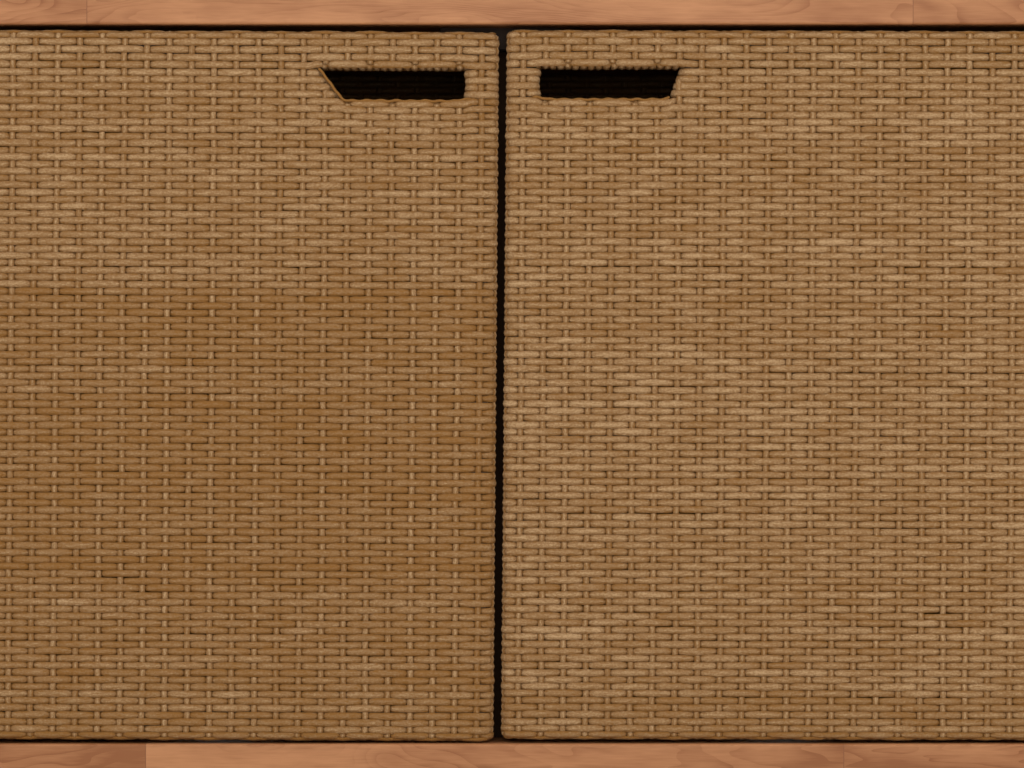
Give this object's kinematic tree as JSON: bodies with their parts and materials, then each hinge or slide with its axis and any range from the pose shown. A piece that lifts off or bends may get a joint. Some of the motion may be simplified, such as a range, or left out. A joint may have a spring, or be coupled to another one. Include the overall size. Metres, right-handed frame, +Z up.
{
  "type": "console television cabinet",
  "caption": "Low free-standing wooden cabinet for a television, with a pair of woven doors with finger holes, woven side and back panels, inner shelves and cable ports.",
  "frame": {"origin": "on the floor, under the middle of the cabinet", "axes": "+X to the right as seen from the front, +Y to the back, +Z up"},
  "size_m": [1.067, 0.48, 0.71],
  "materials": {
    "solid_wood": "oiled satin, edge-glued staves",
    "dowel_wood": "plain",
    "woven_fibre": "hand woven twisted fibre rope",
    "coated_tube": "brown powder coat",
    "zinc_steel": "zinc plated",
    "brass": "turned",
    "nylon": "moulded",
    "brown_plastic": "moulded, fine texture",
    "ferrite": "sintered"
  },
  "bodies": {
    "cabinet": {"back_panel_frame": "coated_tube", "back_panel_weave": "woven_fibre", "barrel_nuts": "zinc_steel", "batten_screws": "zinc_steel", "bottom_board": "solid_wood", "cable_port_liners": "brown_plastic", "cable_rail": "solid_wood", "catch_housing": "brown_plastic", "catch_magnets": "ferrite", "catch_screws": "zinc_steel", "centre_partition": "solid_wood", "dowels": "dowel_wood", "foot_glides": "nylon", "frame_bolts": "zinc_steel", "front_left_post": "solid_wood", "front_right_post": "solid_wood", "left_lower_rail": "solid_wood", "left_shelf": "solid_wood", "left_shelf_battens": "solid_wood", "left_side_panel_frame": "coated_tube", "left_side_panel_weave": "woven_fibre", "pivot_bushes": "brass", "rear_left_post": "solid_wood", "rear_right_post": "solid_wood", "right_lower_rail": "solid_wood", "right_shelf": "solid_wood", "right_shelf_battens": "solid_wood", "right_side_panel_frame": "coated_tube", "right_side_panel_weave": "woven_fibre", "shelf_pins": "brass", "top_board": "solid_wood"},
    "left_door": {"left_door_bottom_rail": "coated_tube", "left_door_grip_post": "coated_tube", "left_door_grip_rail": "coated_tube", "left_door_hinge_stile": "coated_tube", "left_door_lower_pivot": "zinc_steel", "left_door_meeting_stile": "coated_tube", "left_door_mid_rail": "coated_tube", "left_door_strike_plate": "zinc_steel", "left_door_strike_screws": "zinc_steel", "left_door_top_rail": "coated_tube", "left_door_upper_pivot": "zinc_steel", "left_door_washer": "nylon", "left_door_weave": "woven_fibre"},
    "right_door": {"right_door_bottom_rail": "coated_tube", "right_door_grip_post": "coated_tube", "right_door_grip_rail": "coated_tube", "right_door_hinge_stile": "coated_tube", "right_door_lower_pivot": "zinc_steel", "right_door_meeting_stile": "coated_tube", "right_door_mid_rail": "coated_tube", "right_door_strike_plate": "zinc_steel", "right_door_strike_screws": "zinc_steel", "right_door_top_rail": "coated_tube", "right_door_upper_pivot": "zinc_steel", "right_door_washer": "nylon", "right_door_weave": "woven_fibre"}
  },
  "joints": [
    {"name": "left_door_hinge", "type": "hinge", "parent": "cabinet", "child": "left_door", "pos_m": [-0.471, -0.226, 0.4], "axis": [0, 0, -1], "range_deg": [0, 95]},
    {"name": "right_door_hinge", "type": "hinge", "parent": "cabinet", "child": "right_door", "pos_m": [0.471, -0.226, 0.4], "axis": [0, 0, 1], "range_deg": [0, 95]}
  ]
}
